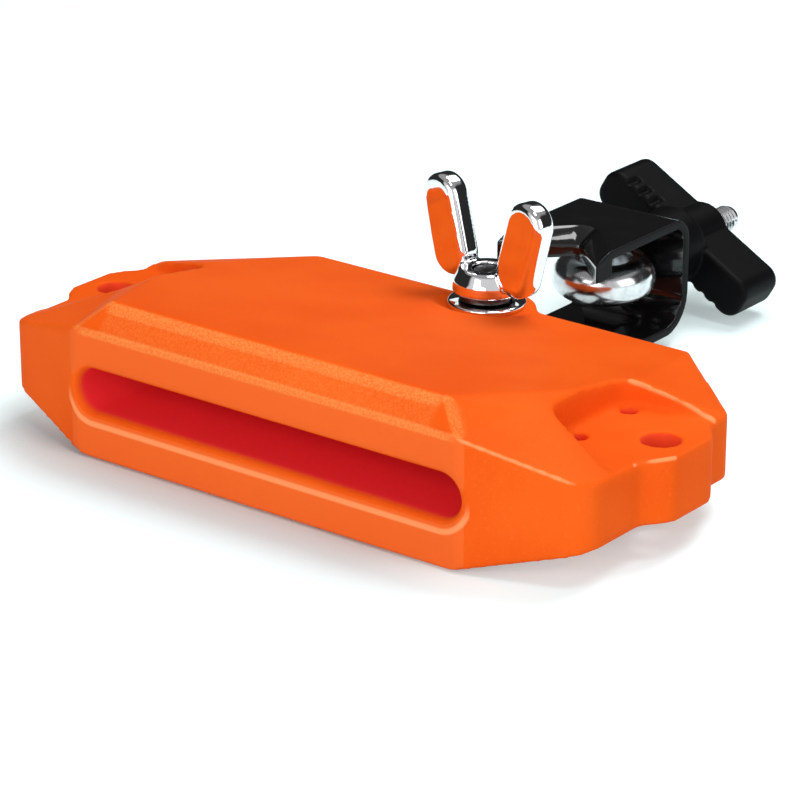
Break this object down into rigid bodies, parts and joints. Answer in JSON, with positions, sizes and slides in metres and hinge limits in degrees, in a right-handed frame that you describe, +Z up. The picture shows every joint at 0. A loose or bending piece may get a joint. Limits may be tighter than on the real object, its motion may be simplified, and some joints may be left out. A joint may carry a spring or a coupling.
{
  "type": "percussion block",
  "caption": "Moulded percussion block with a long sound slot, hung from a wing-nut lug on a bent steel rod clamp with an eye bolt and T-handle.",
  "frame": {"origin": "on the ground plane, under the middle of the whole object's box", "axes": "+X along the block to the player's right, +Y from the slotted front face back to the clamp handle, +Z up"},
  "size_m": [0.1896, 0.207, 0.0586],
  "materials": {
    "orange_plastic": "moulded, fine sandy texture, satin",
    "chrome": "polished plating",
    "dark_steel": "dark steel",
    "black_paint": "gloss black coat",
    "zinc_steel": "bright zinc plating",
    "black_plastic": "satin black",
    "insert_brass": "machined"
  },
  "bodies": {
    "block": {"block_body": "orange_plastic", "flat_washer": "chrome"},
    "bracket": {"bracket": "black_paint", "mounting_bolt": "dark_steel", "handle_washer": "zinc_steel"},
    "lock_washer": {"lock_washer": "dark_steel"},
    "wing_nut": {"wing_nut": "chrome"},
    "eye_bolt": {"eye_bolt": "zinc_steel"},
    "handle": {"clamp_handle": "black_plastic", "handle_insert": "insert_brass"}
  },
  "joints": [
    {"name": "bracket_swivel", "type": "hinge", "parent": "block", "child": "bracket", "pos_m": [0, -0.0115, 0.0062], "axis": [0, 0, 1], "range_deg": [-40, 40]},
    {"name": "lock_washer_rise", "type": "slide", "parent": "bracket", "child": "lock_washer", "axis": [0, 0, 1], "range_m": [0, 0.0043]},
    {"name": "wing_nut_turn", "type": "hinge", "parent": "lock_washer", "child": "wing_nut", "pos_m": [0, -0.0115, 0.031], "axis": [0, 0, 1], "range_deg": [0, 1080]},
    {"name": "eye_slide", "type": "slide", "parent": "bracket", "child": "eye_bolt", "axis": [0, 1, 0], "range_m": [-0.0222, 0]},
    {"name": "handle_turn", "type": "hinge", "parent": "bracket", "child": "handle", "pos_m": [0, 0.0585, 0.0199], "axis": [0, 1, 0], "range_deg": [0, 5600]}
  ],
  "couplings": [
    {"joint": "lock_washer_rise", "follows": "wing_nut_turn", "m_per_rad": 0.00022457},
    {"joint": "eye_slide", "follows": "handle_turn", "m_per_rad": -0.00022457}
  ]
}
